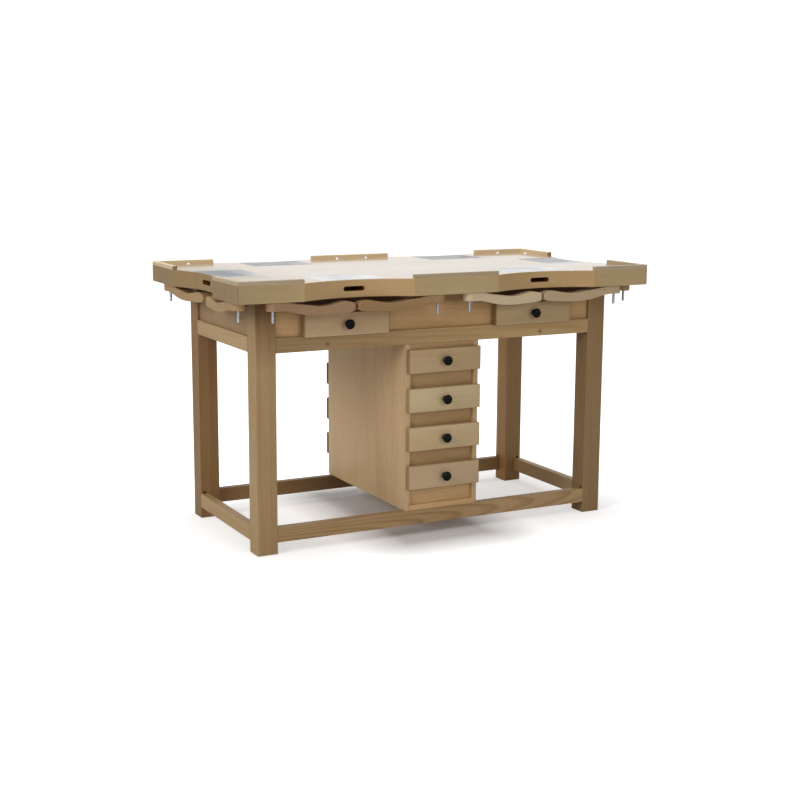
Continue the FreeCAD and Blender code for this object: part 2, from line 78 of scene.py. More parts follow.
def maths(tree, operation, first, second=0.0, third=0.0):
    return add(tree, "Math", {0: first, 1: second, 2: third}, operation=operation).outputs[0]


def raised(tree, total, value, weight, middle=0.0):  # a total with a weighted value added to it
    if middle:
        value = maths(tree, "SUBTRACT", value, middle)
    return maths(tree, "MULTIPLY_ADD", value, weight, total)


def mapped(tree, value, start, end, first=0.0, last=1.0):  # from one range to another, kept inside it
    return add(tree, "MapRange", {0: value, 1: start, 2: end, 3: first, 4: last}).outputs[0]


def axes(tree, vector):
    return add(tree, "SeparateXYZ", {0: vector}).outputs


def scaled(tree, vector, x, y, z):  # the same place, stretched
    return add(tree, "VectorMath", {0: vector, 1: (x, y, z)}, operation="MULTIPLY").outputs[0]


def distanceFrom(tree, vector, point):
    return add(tree, "VectorMath", {0: vector, 1: point}, operation="DISTANCE").outputs["Value"]


def lengthOf(tree, vector):
    return add(tree, "VectorMath", {0: vector}, operation="LENGTH").outputs["Value"]


def noise(tree, vector, scale, detail=2.0, roughness=0.5):
    made = add(tree, "TexNoise", {"Vector": vector, "Scale": scale, "Detail": detail,
                                  "Roughness": roughness})
    return made.outputs[0]


def ramp(tree, value, stops):  # stops: (position, grey level or colour)
    made = add(tree, "ValToRGB", {0: value})
    elements = made.color_ramp.elements
    while len(elements) < len(stops):
        elements.new(0.5)
    for element, (position, colour) in zip(elements, stops):
        element.position = position
        element.color = colour if isinstance(colour, tuple) else (colour, colour, colour, 1.0)
    return made.outputs[0]


def blend(tree, factor, first, second, mode="MIX"):
    made = add(tree, "Mix", {0: factor, 6: first, 7: second}, data_type="RGBA", blend_type=mode)
    return made.outputs[2]


def shaded(tree, colour, factor, share=1.0):  # a colour times a factor, in full or by a share
    return blend(tree, share, colour, factor, "MULTIPLY")


def emptyTree(owner):  # the node tree of a material or world, cleared
    owner.use_nodes = True
    owner.node_tree.nodes.clear()
    return owner.node_tree


def emptyMaterial(name):
    material = bpy.data.materials.new(name)
    tree = emptyTree(material)
    shader = add(tree, "BsdfPrincipled")
    add(tree, "OutputMaterial", {"Surface": shader.outputs[0]}, is_active_output=True)
    return material, tree, shader, add(tree, "TexCoord").outputs["Object"]


def roughness(tree, look, value):  # roughSwing: how far a noise moves it, and how far below it starts
    swing, drop = look["roughSwing"]
    return maths(tree, "MULTIPLY_ADD", value, swing, look["rough"] - drop)


def dress(tree, shader, look, colour, rough, height, others):  # the shader's sockets, with a fine relief
    relief = add(tree, "Bump", {"Height": height, "Strength": look["bump"], "Distance": look["bumpDepth"]})
    fill(tree, shader, {"Base Color": colour, "Roughness": rough, "Normal": relief.outputs[0], **others})


beechLook = {
    "pale": (186, 156, 112),
    "warm": (168, 135, 91),
    "dark": (122, 90, 55),
    "ringSpacing": 0.0062,
    "rings": 0.20,         # how strongly the late wood shows
    "fibres": 0.22,
    "flecks": 0.18,
    "tilt": 2.2,           # degrees between the stem and the board
    "pith": (0.085, 0.05),  # where the stem's middle lies, seen from the board's middle
    "plyWidth": 0.0,       # width of glued staves, 0 for one piece
    "plyAxis": "Y",
    "plyTone": 0.16,
    "rough": 0.48,
    "roughSwing": (0.16, 0.08),
    "shine": 0.26,         # specular level of the wood itself
    "coat": 0.03,
    "coatRough": 0.25,
    "coatAbove": 0.0,      # height from which the coat lies on the wood, 0 for everywhere
    "coatFade": (),        # (from, to, first share, last share) of the coat, along X
    "bump": 0.10,
    "bumpDepth": 0.0006,
    "tint": (1.0, 1.0, 1.0, 1.0),
    "fades": (),           # (axis, from, to, first factor, last factor)
    "endGrain": 0.0,       # distance from the middle, along the grain, where end grain begins
    "endShade": (0.72, 0.67, 0.62, 1.0),
    "ends": (),            # (least X, greatest Y, factor) of the bars' sawn ends
    "slots": {},           # see placeSlots
    "shadow": (),          # (from height, to height, from X, to X, factor)
    "knots": (),           # (x, y, z, radius)
}

woodGrain = {  # what all the boards share
    # noises: stretch along and across the grain, detail, roughness
    "fibre": (5.0, 210.0, 5.0, 0.62),
    "coarse": (1.4, 30.0, 3.0, 0.55),
    "patches": (1.6, 7.0, 2.0, 0.5),
    "speck": (95.0, 640.0, 1.0, 0.4),
    # how much each darkens the wood, and the value about which it swings
    "fibreShare": (1.2, 0.5), "coarseShare": (1.5, 0.5), "patchShare": (0.7, 0.42),
    "wave": {"Distortion": 9.0, "Detail": 2.0, "Detail Scale": 0.09, "Detail Roughness": 0.55},
    "ringStretch": 0.12, "ringScale": 0.314,
    "lateWood": [(0.0, 0.05), (0.45, 0.12), (0.86, 1.0), (0.97, 0.25)],
    "fleckStops": [(0.62, 0.0), (0.72, 1.0)],
    "tones": {"pale": 0.0, "warm": 0.38, "dark": 1.0},
    "sideTilt": -0.7,          # the stem's lean sideways, as a share of its tilt
    "stemStep": (1.37, 3.0),   # what a seed moves the stem by, and the length it stays in
    "plyStep": 0.37, "plySeed": 7.3, "plyJump": (2.0, 0.10, 0.10),
    "glueLine": 0.00045, "glueTone": 0.45,
    "ringRelief": -0.35, "fleckRelief": -0.5,
    "coatPatches": (0.5, 0.45),
    "shadowStart": 0.45,       # share of a shadow that is there where its X range starts
    # a knot's tone, its halo, how far that reaches in radii, and how uneven it is
    "knotTone": (84, 56, 34), "knotStops": [(0.2, 0.9), (0.42, 0.35), (0.9, 0.0)],
    "knotReach": 4.0, "knotGrain": 160.0, "knotWander": 0.5,
}

grainTurn = {"X": (0, 0, 0), "Y": (0, 0, -90), "Z": (0, 90, 0)}


def sawnEndsAndShade(tree, coordinates, ends, wood):  # the bars' ends beside the two end places: darker end grain, with painted shade
    far, near, shade = ends
    split = axes(tree, coordinates)
    x, y = (maths(tree, "ABSOLUTE", split[axis]) for axis in (0, 1))
    cut = maths(tree, "MULTIPLY", maths(tree, "GREATER_THAN", x, far), maths(tree, "LESS_THAN", y, near))
    return shaded(tree, wood, shade, cut)


def shadowed(tree, coordinates, band, wood):  # painted shadow: darker from a height up, more so from one X to another
    low, high, start, end, factor = band
    x, y, z = axes(tree, coordinates)
    aside = mapped(tree, maths(tree, "ABSOLUTE", x), start, end, woodGrain["shadowStart"], 1.0)
    return shaded(tree, wood, (*factor, 1.0), maths(tree, "MULTIPLY", mapped(tree, z, low, high), aside))


def paintedSlotShade(tree, coordinates, slots, wood):  # the bench-pin slots get painted shade inside
    split = axes(tree, coordinates)
    x, y = (maths(tree, "ABSOLUTE", split[axis]) for axis in (0, 1))
    alongSide = maths(tree, "ABSOLUTE", maths(tree, "SUBTRACT", x, slots["offset"]))
    # the places at the sides lie far out in Y, the two at the ends far out in X
    alongSide = maths(tree, "ADD", alongSide, maths(tree, "LESS_THAN", y, slots["sideFrom"]))
    alongEnd = maths(tree, "ADD", y, maths(tree, "LESS_THAN", x, slots["endFrom"]))
    beyond = maths(tree, "SUBTRACT", maths(tree, "MINIMUM", alongSide, alongEnd), slots["flat"])
    rise = maths(tree, "SUBTRACT", split[2], slots["height"])
    outline = add(tree, "CombineXYZ", {0: maths(tree, "MAXIMUM", beyond, 0.0), 1: rise}).outputs[0]
    inside = maths(tree, "LESS_THAN", lengthOf(tree, outline), slots["radius"])
    return shaded(tree, wood, slots["shade"], inside)


def darkKnots(tree, coordinates, places, wood):  # small round knots with a halo
    for x, y, z, radius in places:
        away = distanceFrom(tree, coordinates, (x, y, z))
        uneven = noise(tree, coordinates, woodGrain["knotGrain"])
        away = maths(tree, "MULTIPLY_ADD", uneven, woodGrain["knotWander"] * radius, away)
        reach = woodGrain["knotReach"] * radius
        halo = ramp(tree, maths(tree, "DIVIDE", away, reach), woodGrain["knotStops"])
        wood = blend(tree, halo, wood, tone(*woodGrain["knotTone"]))
    return wood


woodMarks = {"ends": sawnEndsAndShade, "slots": paintedSlotShade, "shadow": shadowed, "knots": darkKnots}


def staves(tree, along, look, seed):  # the stem's place, the tone and the edges of each glued stave
    across = maths(tree, "DIVIDE", axes(tree, along)[look["plyAxis"]], look["plyWidth"])
    shifted = maths(tree, "ADD", across, seed * woodGrain["plyStep"])
    index = maths(tree, "ADD", maths(tree, "FLOOR", shifted), seed * woodGrain["plySeed"])
    chance = add(tree, "TexWhiteNoise", {"W": index}, noise_dimensions="1D").outputs
    jump = scaled(tree, chance["Color"], *woodGrain["plyJump"])
    stem = add(tree, "VectorMath", {0: along, 1: jump}, operation="ADD").outputs[0]
    return stem, chance["Value"], maths(tree, "PINGPONG", shifted, 0.5)


def grainNoise(tree, vector, kind):
    lengthways, across, detail, rough = woodGrain[kind]
    return noise(tree, scaled(tree, vector, lengthways, across, across), 1.0, detail, rough)


def coatWeight(tree, coordinates, look, patches):  # lacquer that has worn thin towards one end
    x, y, z = axes(tree, coordinates)
    level = maths(tree, "GREATER_THAN", z, look["coatAbove"])
    share = raised(tree, mapped(tree, x, *look["coatFade"]), patches, *woodGrain["coatPatches"])
    return maths(tree, "MULTIPLY", level, maths(tree, "MULTIPLY", share, look["coat"]))


def beech(name, centre, grain, seed, **changes):  # lacquered beech with its grain along one direction
    look = dict(beechLook, **changes)
    material, tree, shader, coordinates = emptyMaterial(name)
    degrees = grainTurn[grain] if isinstance(grain, str) else (0, 0, -grain)
    turn = [math.radians(angle) for angle in degrees]
    rotation = Matrix.Rotation(turn[2], 3, "Z") @ Matrix.Rotation(turn[1], 3, "Y")
    along = add(tree, "Mapping", {"Vector": coordinates, "Rotation": turn,
                                  "Location": -(rotation @ Vector(centre))}).outputs[0]
    stem = along
    if look["plyWidth"]:
        stem, stave, edge = staves(tree, along, look, seed)
    step, reach = woodGrain["stemStep"]
    lean = (0, math.radians(look["tilt"]), math.radians(woodGrain["sideTilt"] * look["tilt"]))
    leaning = add(tree, "Mapping", {"Vector": stem, "Location": (seed * step % reach, *look["pith"]),
                                    "Rotation": lean}).outputs[0]
    ringSpace = scaled(tree, leaning, woodGrain["ringStretch"], 1.0, 1.0)
    ringScale = woodGrain["ringScale"] / look["ringSpacing"]
    wave = add(tree, "TexWave", {"Vector": ringSpace, "Scale": ringScale, **woodGrain["wave"]},
               wave_type="RINGS", rings_direction="X", wave_profile="SAW").outputs[1]
    lateWood = ramp(tree, wave, woodGrain["lateWood"])
    fibre, coarse, patches = (grainNoise(tree, leaning, kind) for kind in ("fibre", "coarse", "patches"))
    flecks = ramp(tree, grainNoise(tree, leaning, "speck"), woodGrain["fleckStops"])

    # one number for how dark the wood is, then three tones
    darkness = maths(tree, "MULTIPLY", lateWood, look["rings"])
    for value, key in ((fibre, "fibreShare"), (coarse, "coarseShare")):
        weight, middle = woodGrain[key]
        darkness = raised(tree, darkness, value, weight * look["fibres"], middle)
    darkness = raised(tree, darkness, patches, *woodGrain["patchShare"])
    darkness = raised(tree, darkness, flecks, look["flecks"])
    if look["plyWidth"]:
        darkness = raised(tree, darkness, stave, 2 * look["plyTone"], 0.5)
        gap = maths(tree, "LESS_THAN", edge, woodGrain["glueLine"] / look["plyWidth"])
        darkness = raised(tree, darkness, gap, woodGrain["glueTone"])
    wood = ramp(tree, darkness, [(at, tone(*look[key])) for key, at in woodGrain["tones"].items()])
    wood = shaded(tree, wood, look["tint"])
    for axis, *span in look["fades"]:
        wood = shaded(tree, wood, mapped(tree, axes(tree, coordinates)[axis], *span))
    if look["endGrain"]:
        out = maths(tree, "ABSOLUTE", axes(tree, along)[0])
        wood = shaded(tree, wood, look["endShade"], maths(tree, "GREATER_THAN", out, look["endGrain"]))
    for mark, paint in woodMarks.items():
        if look[mark]:
            wood = paint(tree, coordinates, look[mark], wood)

    height = raised(tree, fibre, lateWood, woodGrain["ringRelief"])
    height = raised(tree, height, flecks, woodGrain["fleckRelief"])
    coat = coatWeight(tree, coordinates, look, patches) if look["coatAbove"] else look["coat"]
    dress(tree, shader, look, wood, roughness(tree, look, fibre), height,
          {"Specular IOR Level": look["shine"], "Coat Weight": coat, "Coat Roughness": look["coatRough"]})
    return material


steelLook = {
    "level": 0.887,        # height of the sheets' upper faces
    # stretch of the two fine noises, then scale, detail and roughness of the two broad ones
    "rolled": (8.0, 420.0, 8.0), "scratched": (330.0, 14.0, 14.0),
    "smudged": (13.0, 4.0, 0.6), "clouded": (9.0, 2.0, 0.6),
    "tones": [(0.30, (182, 185, 188)), (0.62, (220, 221, 220))],
    "rough": 0.30, "roughSwing": (0.22, 0.10), "rolledRough": 0.08,
    "bump": 0.06, "bumpDepth": 0.0003, "scratches": 0.6,
    # painted reflections: the six sheets are bright at the front, duller at the back and at the left end
    "depth": (-0.28, 0.28), "frontToBack": [(0.0, 1.0), (0.5, 0.60), (1.0, 0.46)],
    "leftEnd": (0.36, 0.44, 0.52, 1.0), "leftReach": (-0.55, -0.48), "leftWander": 0.16,
    "cloud": (0.62, 0.63, 0.66, 1.0), "cloudStops": [(0.48, 0.0), (0.60, 1.0)],
    # painted reflections, bright and dull: (x, y, radius, factor)
    "paintedReflections": (
        (-0.26, 0.272, 0.055, (1.45, 1.45, 1.45, 1.0)),
        (0.412, 0.266, 0.036, (0.60, 0.60, 0.60, 1.0)),
        (0.645, -0.032, 0.040, (0.72, 0.72, 0.71, 1.0)),
        (0.715, -0.06, 0.045, (1.25, 1.25, 1.22, 1.0)),
        (-0.56, -0.055, 0.06, (1.22, 1.22, 1.20, 1.0)),
        (-0.66, -0.02, 0.07, (0.80, 0.84, 0.88, 1.0)),
    ),
    "spotEdge": (0.4, 1.0),  # where a spot fades, as shares of its radius
    "spotWander": 0.5,
}


def sheetSteel(name):  # rolled sheet with faint scratches and smudges, and painted reflections
    look = steelLook
    material, tree, shader, coordinates = emptyMaterial(name)
    rolled = noise(tree, scaled(tree, coordinates, *look["rolled"]), 1.0, 3.0, 0.6)
    scratch = noise(tree, scaled(tree, coordinates, *look["scratched"]), 1.0)
    smudge = noise(tree, coordinates, *look["smudged"])
    colour = ramp(tree, smudge, [(at, tone(*value)) for at, value in look["tones"]])
    x, y, z = axes(tree, coordinates)
    depth = mapped(tree, y, *look["depth"])
    # painted reflections: brighter at the front, duller at the back and at the left end
    colour = shaded(tree, colour, ramp(tree, depth, look["frontToBack"]))
    farLeft = mapped(tree, raised(tree, x, smudge, look["leftWander"]), *look["leftReach"], 1.0, 0.0)
    colour = shaded(tree, colour, look["leftEnd"], farLeft)
    cloud = ramp(tree, noise(tree, coordinates, *look["clouded"]), look["cloudStops"])
    colour = shaded(tree, colour, look["cloud"], maths(tree, "MULTIPLY", cloud, depth))
    # painted reflections, bright and dull, in round patches
    for spotX, spotY, radius, factor in look["paintedReflections"]:
        away = distanceFrom(tree, coordinates, (spotX, spotY, look["level"]))
        away = raised(tree, away, smudge, look["spotWander"] * radius, 0.5)
        inner, outer = (share * radius for share in look["spotEdge"])
        colour = shaded(tree, colour, factor, mapped(tree, away, inner, outer, 1.0, 0.0))
    rough = raised(tree, roughness(tree, look, smudge), rolled, look["rolledRough"])
    height = raised(tree, rolled, scratch, look["scratches"])
    dress(tree, shader, look, colour, rough, height, {"Metallic": 1.0})
    return material


# bright zinc plating and polished black plastic, both a little clouded
zincLook = {"grain": (260.0, 3.0, 0.6), "tones": [(0.3, (188, 190, 194)), (0.65, (226, 228, 232))],
            "rough": 0.34, "roughSwing": (0.2, 0.1), "bump": 0.05, "bumpDepth": 0.0002,
            "sockets": {"Metallic": 1.0}}
knobLook = {"grain": (190.0, 3.0, 0.6), "tones": [(0.3, (9, 9, 10)), (0.8, (17, 17, 18))],
            "rough": 0.13, "roughSwing": (0.16, 0.06), "bump": 0.03, "bumpDepth": 0.0002,
            "sockets": {"Specular IOR Level": 0.12}}


def clouded(name, look):
    material, tree, shader, coordinates = emptyMaterial(name)
    cloud = noise(tree, coordinates, *look["grain"])
    colour = ramp(tree, cloud, [(at, tone(*value)) for at, value in look["tones"]])
    dress(tree, shader, look, colour, roughness(tree, look, cloud), cloud, look["sockets"])
    return material


def middleOf(name):
    low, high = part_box(name)
    return (Vector(low) + Vector(high)) / 2


def finishNode(name, material):
    target = nodes[name]
    if not target.material_slots:
        target.data.materials.append(material)
    for holder in target.material_slots:
        holder.material = material


legPlies = {"plyAxis": "Z", "plyWidth": 0.035, "plyTone": 0.08, "rings": 0.16}
# painted shade: the aprons are dark close under the worktop
shadedApron = {"rings": 0.12, "shadow": (0.782, 0.800, 0.09, 0.15, (0.09, 0.05, 0.03))}
railKnots = ((0.395, -0.303, 0.673, 0.0035), (-0.415, -0.303, 0.677, 0.003))
frameLooks = {
    # painted shade: tinted darker, and darker still under the worktop, mostly on the face towards the front
    "leg_front_left": dict(legPlies, pith=(0.07, 0.12), tint=(0.87, 0.87, 0.89, 1.0),
                           shadow=(0.60, 0.81, 0.6649, 0.6640, (0.40, 0.30, 0.20))),
    # painted shade: the other three legs are tinted darker, the back left one most
    "leg_front_right": dict(legPlies, pith=(-0.06, 0.10), tint=(0.61, 0.57, 0.54, 1.0)),
    "leg_back_left": dict(legPlies, pith=(0.09, -0.08), tint=(0.57, 0.48, 0.40, 1.0)),
    "leg_back_right": dict(legPlies, pith=(0.05, 0.09), tint=(0.79, 0.71, 0.63, 1.0), plyTone=0.14,
                           fades=(("X", 0.5955, 0.5970, 1.85, 1.0),)),
    "stretcher_front": {"pith": (-0.055, 0.012), "tilt": 3.4, "rings": 0.45,
                        "tint": (0.95, 0.93, 0.98, 1.0)},
    # painted shade: darker towards the pedestal, lighter past it
    "stretcher_back": {"pith": (0.07, 0.03), "tint": (1.15, 1.0, 0.92, 1.0),
                       "fades": (("X", -0.5, -0.12, 0.55, 0.26), ("X", -0.1, 0.2, 1.0, 2.3))},
    "stretcher_left": {"pith": (0.06, 0.05), "tilt": 2.6, "rings": 0.26},
    # painted light: tinted lighter, more so towards the back
    "stretcher_right": {"pith": (-0.06, 0.04), "rings": 0.26, "tint": (1.10, 1.25, 1.50, 1.0),
                        "fades": (("Y", -0.25, 0.20, 1.05, 1.60),)},
    "rail_front": {"pith": (-0.09, 0.03), "tilt": 1.6, "knots": railKnots,
                   "fades": (("X", -0.6, 0.0, 0.63, 1.06),)},
    "rail_back": {"pith": (0.08, 0.05)},
    "rail_left": {"pith": (0.08, -0.04), "tint": (0.95, 0.96, 1.0, 1.0)},
    "rail_right": {"pith": (-0.07, 0.05)},
    "apron_front": dict(shadedApron, pith=(-0.12, 0.05), tint=(1.16, 1.06, 1.04, 1.0)),
    "apron_back": dict(shadedApron, pith=(0.12, 0.06)),
    "apron_left": dict(shadedApron, pith=(0.11, -0.05), tint=(0.69, 0.67, 0.69, 1.0)),
    "apron_right": dict(shadedApron, pith=(0.12, 0.04)),
}
runnerLook = {"coat": 0.0, "rough": 0.6}


def grainOf(name):
    if name.startswith("leg"):
        return "Z"
    return "Y" if name.endswith(("left", "right")) else "X"


def finishFrame():
    for seed, (name, changes) in enumerate(frameLooks.items()):
        finishNode(name, beech("beech_" + name, middleOf(name), grainOf(name), 1.0 + seed, **changes))
    runners = "drawer_runners"
    finishNode(runners, beech("beech_runners", middleOf(runners), "Y", 23.0, **runnerLook))
    print("frame and runners finished")


topLook = {
    "pale": (186, 162, 120), "warm": (170, 143, 103), "dark": (138, 108, 72),
    "plyWidth": 0.092, "plyTone": 0.05, "rings": 0.06, "fibres": 0.16, "rough": 0.42, "shine": 0.30,
    "coat": 0.92, "coatAbove": 0.8866, "coatFade": (-0.76, -0.42, 0.55, 1.0), "coatRough": 0.10,
    # painted shade: the fades make the worktop darker towards its left end
    "bump": 0.04, "endGrain": 0.7605, "fades": (("X", -0.76, -0.56, 0.84, 1.0),),
}
placeSlots = {  # the slots' half height and straight half length, and where they lie
    "radius": 0.0078, "flat": 0.0295, "offset": 0.35, "height": 0.8585, "sideFrom": 0.25, "endFrom": 0.6,
    # painted shade inside the slots
    "shade": (0.42, 0.26, 0.14, 1.0),
}
# painted shade: the place boards darker at the left end, and painted shade inside the slots
placeBoardLook = dict(topLook, plyWidth=0.0, endGrain=0.0, pale=(190, 158, 112), warm=(174, 138, 93),
                      fades=(("X", -0.60, -0.545, 0.63, 1.0),), slots=placeSlots)
rimLook = {
    "pale": (208, 187, 155), "warm": (192, 168, 134), "dark": (150, 124, 92), "rings": 0.12, "rough": 0.42,
    # painted light and shade: darker at the front and lighter at the back, the top faces lighter than the
    # sides
    "fades": (("Y", -0.40, 0.30, 0.80, 1.32), ("Z", 0.8985, 0.8998, 0.90, 1.15)),
    # the bars' end grain, darkened further as painted shade
    "ends": (0.742, 0.1945, (0.42, 0.36, 0.28, 1.0)),
}


def finishTop():
    for name, label, seed, changes in (("worktop", "worktop", 31.0, topLook),
                                       ("place_boards", "placeBoards", 33.0, placeBoardLook),
                                       ("edge_rims", "rims", 32.0, rimLook)):
        finishNode(name, beech("beech_" + label, middleOf(name), "X", seed, **changes))
    finishNode("scallop_plates", sheetSteel("steel_scallopPlates"))
    print("worktop finished")


armLook = {"rings": 0.18, "rough": 0.42, "tilt": 3.0}
armPith = ((-0.04, -0.07), (0.03, -0.07))
# painted light and shade: the arms are tinted darker under the worktop, the two at the front right lighter
armLightAndShade = {
    "plain": (0.84, 0.82, 0.80, 1.0),
    "armrest_front_left_left": (0.74, 0.68, 0.76, 1.0),
    "armrest_front_left_right": (0.72, 0.67, 0.65, 1.0),
    "armrest_front_right_left": (1.33, 1.55, 2.10, 1.0),
    "armrest_front_right_right": (0.98, 1.08, 1.34, 1.0),
}


def armAngle(name):  # direction from the bolt to the tip, in degrees about Z
    joint = next(j for j in frame["joints"] if j["child"] == name.replace("armrest", "arm"))
    reach = middleOf(name) - Vector(joint["pos_m"])
    return math.degrees(math.atan2(reach.y, reach.x))


def finishArms():
    arms = [name for name in nodes if name.startswith("armrest_") and name.endswith(("left", "right"))]
    for seed, name in enumerate(sorted(arms)):
        tint = armLightAndShade.get(name, armLightAndShade["plain"])
        finishNode(name, beech("beech_" + name, middleOf(name), armAngle(name), 41.0 + seed,
                               pith=armPith[seed % 2], tint=tint, **armLook))
    print("armrests finished:", len(arms))


zinc = clouded("zinc_hardware", zincLook)
black = clouded("black_knob", knobLook)
finishFrame()
finishTop()
finishArms()

sharpAngle = 38.0    # degrees, above which an edge isn't smoothed
mergeReach = 1e-6


def meshPiece(name, build, material, body, slot, *replaced):
    grid = bmesh.new()
    build(grid)
    bmesh.ops.remove_doubles(grid, verts=grid.verts, dist=mergeReach)
    bmesh.ops.recalc_face_normals(grid, faces=grid.faces)
    mesh = bpy.data.meshes.new(name)
    grid.to_mesh(mesh)
    grid.free()
    mesh.materials.append(material)
    piece = bpy.data.objects.new(name, mesh)
    bpy.context.scene.collection.objects.link(piece)
    for face in mesh.polygons:
        face.use_smooth = True
    mesh.set_sharp_from_angle(angle=math.radians(sharpAngle))
    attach(piece, body)
    if replaced:
        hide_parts(*replaced)


def vertsOf(parts):
    return [part for part in parts if isinstance(part, bmesh.types.BMVert)]


def easeEdges(grid, edges, offset, segments):
    bmesh.ops.bevel(grid, geom=edges, offset=offset, offset_type="OFFSET", segments=segments, profile=0.5,
                    affect="EDGES", material=-1)


def chain(grid, profile):  # (radius, height) pairs joined in a row beside the Z axis
    verts = [grid.verts.new((radius, 0, height)) for radius, height in profile]
    return verts + [grid.edges.new(pair) for pair in zip(verts, verts[1:])]


def lathe(grid, profile, steps):
    bmesh.ops.spin(grid, geom=chain(grid, profile), axis=(0, 0, 1), cent=(0, 0, 0), steps=steps,
                   angle=math.tau, use_merge=True)


def spread(grid, places):  # the shape made so far, once at each place
    first = list(grid.verts)
    whole = first + list(grid.edges) + list(grid.faces)
    for place in places[1:]:
        made = bmesh.ops.duplicate(grid, geom=whole)["geom"]
        bmesh.ops.transform(grid, matrix=place, verts=vertsOf(made))
    bmesh.ops.transform(grid, matrix=places[0], verts=first)


knobShape = {
    "profile": [
        (0.0, 0.0), (0.0098, 0.0), (0.0102, 0.0006), (0.0101, 0.0018), (0.0088, 0.0030),
        (0.0073, 0.0050), (0.0068, 0.0075), (0.0072, 0.0100), (0.0088, 0.0124), (0.0120, 0.0144),
        (0.0148, 0.0163), (0.0162, 0.0182), (0.0165, 0.0199), (0.0162, 0.0214), (0.0150, 0.0231),
        (0.0128, 0.0247), (0.0098, 0.0259), (0.0062, 0.0267), (0.0028, 0.0270), (0.0, 0.0270),
    ],
    "height": 0.027,
    "steps": 48,
}
screwShape = {
    "profile": [(0.0, 0.0024), (0.0018, 0.0023), (0.0034, 0.0017), (0.0044, 0.0007), (0.0045, 0.0),
                (0.0022, 0.0), (0.0022, -0.018), (0.0, -0.018)],
    "depth": 0.020,  # from the knob's seat to the screw's own, through the drawer front
    "steps": 24,
}


def knobFrame(name):  # the knob's seat on its drawer front, with Z pointing out of the front
    low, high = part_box(name)
    outwards = -1 if "front" in name.split("_") else 1
    x, z = (low[0] + high[0]) / 2, (low[2] + high[2]) / 2
    tip = low[1] if outwards < 0 else high[1]
    seat = Vector((x, tip - outwards * knobShape["height"], z))
    return Matrix.Translation(seat) @ Matrix.Rotation(math.radians(-90 * outwards), 4, "X")


def makeKnobs():
    def knob(grid):
        lathe(grid, knobShape["profile"], knobShape["steps"])
        spread(grid, [place])

    def screw(grid):
        lathe(grid, screwShape["profile"], screwShape["steps"])
        sunk = Matrix.Translation((0, 0, -screwShape["depth"]))
        spread(grid, [place @ sunk @ Matrix.Rotation(math.pi, 4, "X")])

    names = sorted(name for name in nodes if name.startswith("knob_"))
    for name in names:
        place = knobFrame(name)
        body = name.replace("knob", "drawer") + "_body"
        meshPiece("turned_" + name, knob, black, body, "black_knob", name)
        meshPiece("screw_" + name, screw, zinc, body, "zinc_hardware")
    print("knobs turned:", len(names))


boltShape = {
    "radius": 0.005, "root": 0.00435, "chamfer": 0.0006, "footEase": 0.0004, "steps": 24,
    # the thread, which reaches a little into the shank
    "pitch": 0.0015, "threadFrom": 0.0012, "threadTurns": 42, "threadSteps": 20, "threadSink": 0.0001,
    # the head's profile, measured down from its crown
    "head": [(0.0065, -0.0035), (0.0065, -0.0026), (0.0062, -0.0020), (0.0053, -0.0013),
             (0.0038, -0.0006), (0.0020, -0.0001), (0.0, 0.0)],
}
nutShape = {"across": 0.017, "height": 0.008, "foot": 0.8039, "ease": 0.0008}
washerShape = {"inner": 0.0052, "outer": 0.012, "thick": 0.002, "ease": 0.0003, "steps": 32}


def boltPlaces(height=0.0):
    hinges = [joint["pos_m"] for joint in frame["joints"] if joint["type"] == "hinge"]
    return [Matrix.Translation((x, y, height)) for x, y, z in hinges]


def makeBolts():
    low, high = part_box("armrest_hardware")
    foot, crown = low[2], high[2] - low[2]
    places = boltPlaces(foot)

    def shank(grid):
        shape = boltShape
        threadEnd = shape["threadFrom"] + shape["threadTurns"] * shape["pitch"]
        profile = [(0.0, 0.0), (shape["root"] - shape["footEase"], 0.0), (shape["root"], shape["chamfer"]),
                   (shape["root"], threadEnd), (shape["radius"], threadEnd + shape["chamfer"]),
                   (shape["radius"], crown + shape["head"][0][1])]
        lathe(grid, profile + [(radius, crown + drop) for radius, drop in shape["head"]], shape["steps"])
        spread(grid, places)

    def thread(grid):
        shape = boltShape
        start, pitch, valley = shape["threadFrom"], shape["pitch"], shape["root"] - shape["threadSink"]
        crest = (shape["radius"], start + 0.5 * pitch)
        tooth = chain(grid, ((valley, start), crest, (valley, start + pitch)))
        turns = shape["threadTurns"] - 1
        bmesh.ops.spin(grid, geom=tooth, axis=(0, 0, 1), cent=(0, 0, 0), angle=math.tau * turns,
                       steps=shape["threadSteps"] * turns, dvec=(0, 0, pitch / shape["threadSteps"]))
        bmesh.ops.remove_doubles(grid, verts=grid.verts, dist=mergeReach)
        bmesh.ops.holes_fill(grid, edges=[edge for edge in grid.edges if edge.is_boundary], sides=0)
        spread(grid, places)

    def nut(grid):
        shape = nutShape
        radius = shape["across"] / math.sqrt(3)
        bmesh.ops.create_cone(grid, cap_ends=True, segments=6, radius1=radius, radius2=radius,
                              depth=shape["height"])
        level = [edge for edge in grid.edges
                 if abs(edge.verts[0].co.z - edge.verts[1].co.z) < mergeReach]
        easeEdges(grid, level, shape["ease"], 2)
        spread(grid, boltPlaces(shape["foot"] + shape["height"] / 2))

    def washer(grid):
        shape = washerShape
        inner, outer, ease = shape["inner"], shape["outer"], shape["ease"]
        under = nutShape["foot"] + nutShape["height"]
        over = under + shape["thick"]
        lathe(grid, [(inner, under), (outer - ease, under), (outer, under + ease), (outer, over),
                     (inner, over), (inner, under)], shape["steps"])
        spread(grid, boltPlaces())

    meshPiece("boltShanks", shank, zinc, "bench", "zinc_hardware", "armrest_hardware")
    meshPiece("boltThreads", thread, zinc, "bench", "zinc_hardware")
    meshPiece("armrestNuts", nut, zinc, "bench", "zinc_hardware")
    meshPiece("armrestWashers", washer, zinc, "bench", "zinc_hardware")
    print("bolts, nuts and washers made:", len(places))


makeBolts()


